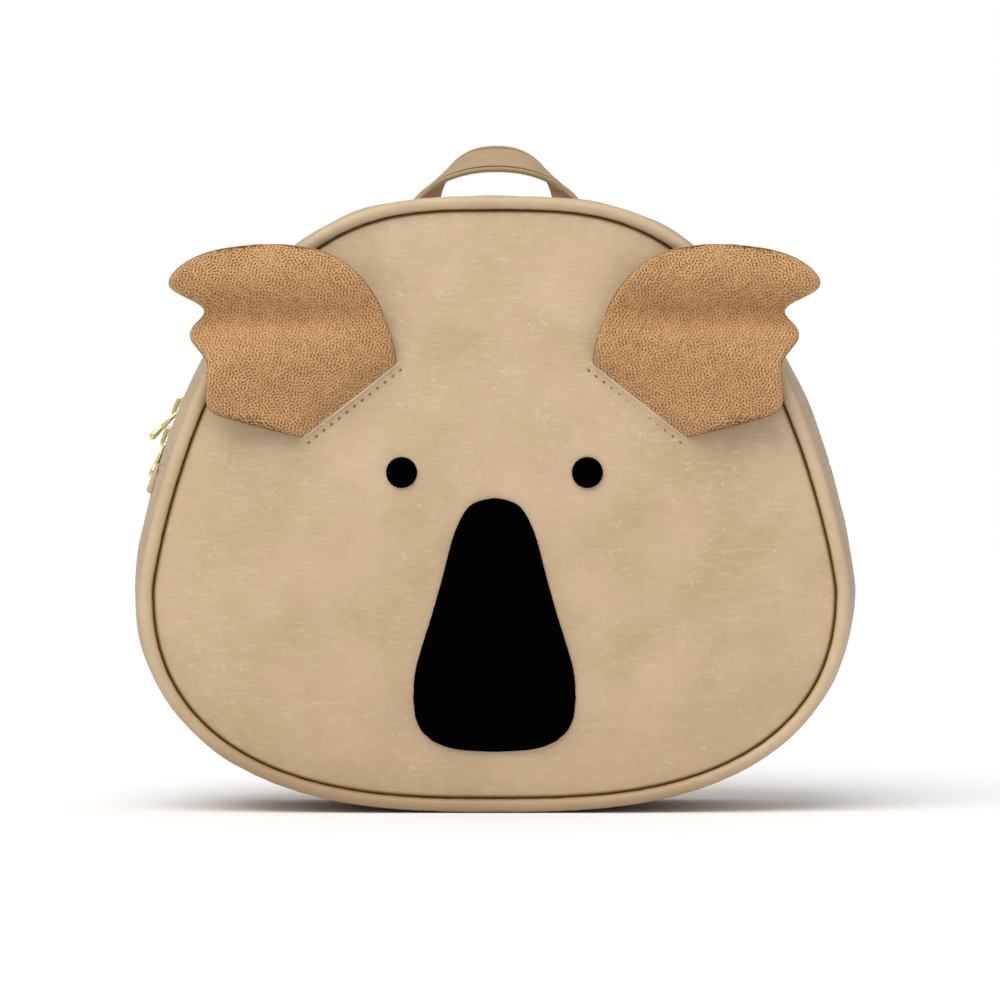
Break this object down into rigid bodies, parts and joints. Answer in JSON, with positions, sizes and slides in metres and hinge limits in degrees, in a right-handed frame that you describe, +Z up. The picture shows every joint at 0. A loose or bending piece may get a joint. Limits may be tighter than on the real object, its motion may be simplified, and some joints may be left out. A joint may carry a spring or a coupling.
{
  "type": "kids animal backpack",
  "caption": "Small rounded leather-look backpack with a domed animal face, curly plush ears, piped seams, a zipped gusset, a top handle and shoulder straps.",
  "frame": {"origin": "middle of the flat stretch of the base that the bag stands on", "axes": "+X to the viewer's right when looking at the face, +Y from the face towards the back panel, +Z up"},
  "size_m": [0.3078, 0.1565, 0.2886],
  "materials": {
    "leather": "matt mottled tan faux leather",
    "plush": "curly brown plush",
    "black_felt": "deep black felt",
    "zip_tape": "woven tan tape",
    "gold_metal": "pale gold plated zinc",
    "webbing": "woven tan webbing"
  },
  "bodies": {
    "bag": {"face_panel": "leather", "back_panel": "leather", "face_piping": "leather", "back_piping": "leather", "gusset_lower": "leather", "gusset_zip_front": "leather", "gusset_zip_rear": "leather", "zip_tape_front": "zip_tape", "zip_tape_rear": "zip_tape", "zip_chain": "gold_metal", "zip_chain_end": "gold_metal", "zip_slider_upper": "gold_metal", "zip_slider_lower": "gold_metal", "side_tab": "leather", "ear_left_back": "leather", "ear_left_plush": "plush", "ear_right_back": "leather", "ear_right_plush": "plush", "eye_left": "black_felt", "eye_right": "black_felt", "nose": "black_felt", "handle": "leather", "strap_pad_left": "leather", "strap_pad_right": "leather", "strap_slide_left": "gold_metal", "strap_slide_right": "gold_metal", "strap_web_left": "webbing", "strap_web_right": "webbing", "strap_foot_left": "leather", "strap_foot_right": "leather"},
    "puller_upper": {"zip_puller_upper": "gold_metal"},
    "puller_lower": {"zip_puller_lower": "gold_metal"}
  },
  "joints": [
    {"name": "puller_upper_hinge", "type": "hinge", "parent": "bag", "child": "puller_upper", "pos_m": [-0.13637, 0, 0.16869], "axis": [0, 1, 0], "range_deg": [0, 115]},
    {"name": "puller_lower_hinge", "type": "hinge", "parent": "bag", "child": "puller_lower", "pos_m": [-0.14114, 0, 0.1558], "axis": [0, 1, 0], "range_deg": [0, 55]}
  ]
}
